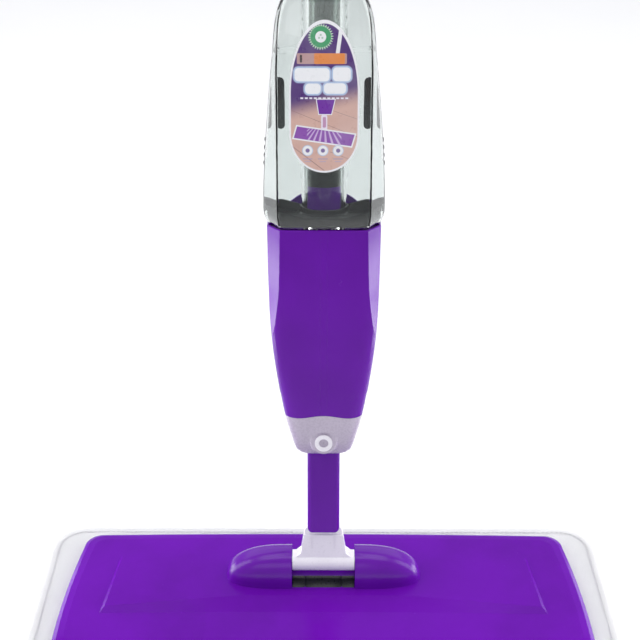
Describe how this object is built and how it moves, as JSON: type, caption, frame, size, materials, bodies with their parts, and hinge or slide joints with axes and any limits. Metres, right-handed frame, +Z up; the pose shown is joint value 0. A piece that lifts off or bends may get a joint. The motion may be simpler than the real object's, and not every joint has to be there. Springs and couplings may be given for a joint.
{
  "type": "flat mop",
  "caption": "Flat spray mop: wide flat head with a removable microfibre pad, two-way swivel, spray body with clear lift-off bottle, tube pole and trigger handle.",
  "frame": {"origin": "on the floor under the middle of the head, at the pad's underside", "axes": "+Z up, -Y the front of the mop where the nozzle points, +X to the right seen from the front"},
  "size_m": [0.422, 0.3642, 1.268],
  "materials": {
    "purple_plastic": "satin moulded purple plastic",
    "white_plastic": "satin off-white plastic",
    "lavender_plastic": "satin light lavender-grey plastic",
    "dark_plastic": "dark grey moulded plastic",
    "clear_plastic": "clear PET, glossy",
    "label_print": "printed film",
    "pole_metal": "bare tube, satin",
    "steel": "plain steel",
    "black_rubber": "matt rubber",
    "hose_plastic": "translucent soft hose",
    "microfibre": "microfibre pile, off-white",
    "loop_fabric": "knitted loop fabric",
    "edge_tape": "woven tape",
    "hook_tape": "hook tape"
  },
  "bodies": {
    "head": {"head_plate": "purple_plastic", "base_plate": "purple_plastic", "base_screws": "steel", "hook_strips": "hook_tape", "axle_pin": "steel", "axle_clamps": "dark_plastic"},
    "pad": {"pad_pile": "microfibre", "pad_backing": "loop_fabric", "pad_binding": "edge_tape"},
    "yoke": {"yoke": "white_plastic"},
    "stick": {"side_pin": "steel", "neck": "purple_plastic", "nose_cover": "lavender_plastic", "body_front_shell": "purple_plastic", "body_rear_shell": "purple_plastic", "shell_screws": "steel", "pole_collar": "dark_plastic", "bottle_socket": "dark_plastic", "spigot_seal": "black_rubber", "nozzle_ring": "white_plastic", "nozzle_tip": "lavender_plastic", "pump_body": "dark_plastic", "valve_balls": "steel", "inlet_hose": "hose_plastic", "outlet_hose": "hose_plastic", "pump_spring": "steel", "pole_lower": "pole_metal", "pole_middle": "pole_metal", "pole_upper": "pole_metal", "pole_coupler_lower": "dark_plastic", "pole_coupler_upper": "dark_plastic", "handle_shell_left": "purple_plastic", "handle_shell_right": "purple_plastic", "handle_screws": "steel", "handle_end_cap": "dark_plastic", "trigger_pin": "steel"},
    "push_rod": {"push_rod": "white_plastic", "pump_piston": "white_plastic", "piston_seal": "black_rubber"},
    "trigger": {"trigger": "white_plastic"},
    "bottle": {"bottle": "clear_plastic", "bottle_label": "label_print", "bottle_grips": "black_rubber"},
    "bottle_cap": {"bottle_cap": "dark_plastic", "cap_seal": "black_rubber", "cap_valve": "white_plastic"}
  },
  "joints": [
    {"name": "pad_lift_off", "type": "slide", "parent": "head", "child": "pad", "axis": [0, 0, -1], "range_m": [0, 0.05]},
    {"name": "head_tilt", "type": "hinge", "parent": "head", "child": "yoke", "pos_m": [0, 0.01, 0.034], "axis": [1, 0, 0], "range_deg": [-68, 66]},
    {"name": "side_swing", "type": "hinge", "parent": "yoke", "child": "stick", "pos_m": [0, 0.01873, 0.07508], "axis": [0, 0.9781, -0.2079], "range_deg": [-85, 85]},
    {"name": "trigger_squeeze", "type": "hinge", "parent": "stick", "child": "trigger", "pos_m": [0, 0.23946, 1.15683], "axis": [-1, 0, 0], "range_deg": [0, 16], "stiffness_Nm_per_rad": 1.2, "springref_deg": -14.32},
    {"name": "rod_push", "type": "slide", "parent": "stick", "child": "push_rod", "axis": [0, -0.2079, -0.9781], "range_m": [0, 0.00428], "deforming": ["pump_spring"]},
    {"name": "bottle_lift", "type": "slide", "parent": "stick", "child": "bottle", "axis": [0, 0.2079, 0.9781], "range_m": [0, 0.09]},
    {"name": "cap_unscrew", "type": "hinge", "parent": "bottle", "child": "bottle_cap", "pos_m": [0, 0.0433, 0.28251], "axis": [0, 0.2079, 0.9781], "range_deg": [0, 450]}
  ],
  "couplings": [
    {"joint": "rod_push", "follows": "trigger_squeeze", "m_per_rad": 0.014951}
  ]
}
